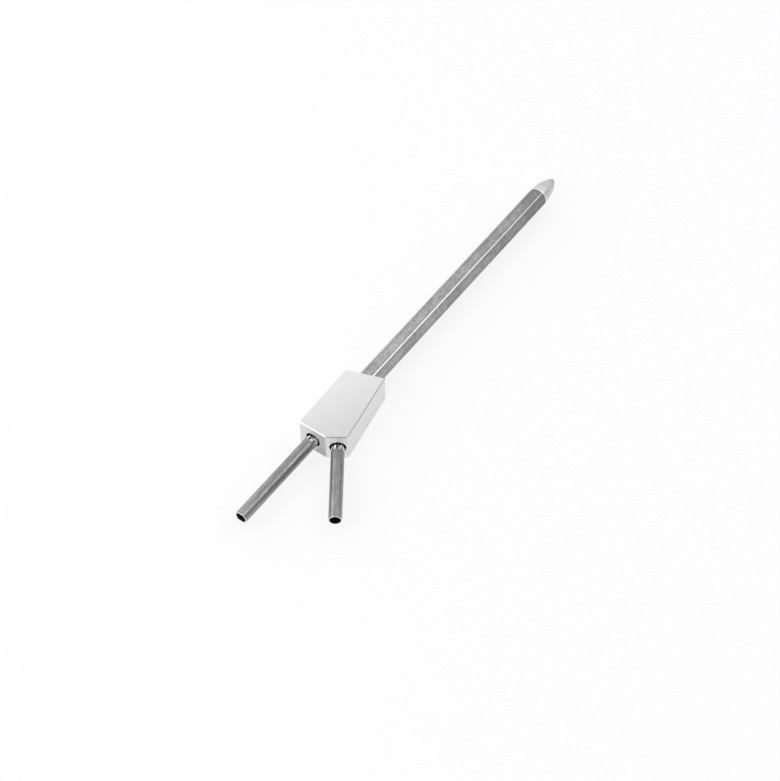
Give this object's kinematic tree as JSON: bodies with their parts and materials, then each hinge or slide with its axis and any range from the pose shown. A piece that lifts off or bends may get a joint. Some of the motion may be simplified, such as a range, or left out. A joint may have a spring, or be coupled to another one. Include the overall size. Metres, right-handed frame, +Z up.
{
  "type": "pitot tube",
  "caption": "Straight pitot-static probe: a hexagonal steel boom with a turned nose, a metal block, and an in-line and a slanted side outlet tube.",
  "frame": {"origin": "on the boom's axis, where it leaves the far face of the block", "axes": "+X along the boom to the nose, +Z up, square to the block's top; the side outlet tube leans towards -Y"},
  "size_m": [0.4011, 0.073, 0.025],
  "materials": {
    "block_metal": "fine satin, bead-blasted",
    "boom_steel": "drawn bar, dull grey with fine scratches, corners polished by handling",
    "nose_steel": "bright, finely turned",
    "line_steel": "drawn tube",
    "tube_steel": "drawn tube, satin grey"
  },
  "bodies": {
    "root": {"block": "block_metal", "boom": "boom_steel", "nose": "nose_steel", "pressure_line": "line_steel", "inline_outlet_tube": "tube_steel", "side_outlet_tube": "tube_steel"}
  },
  "joints": []
}
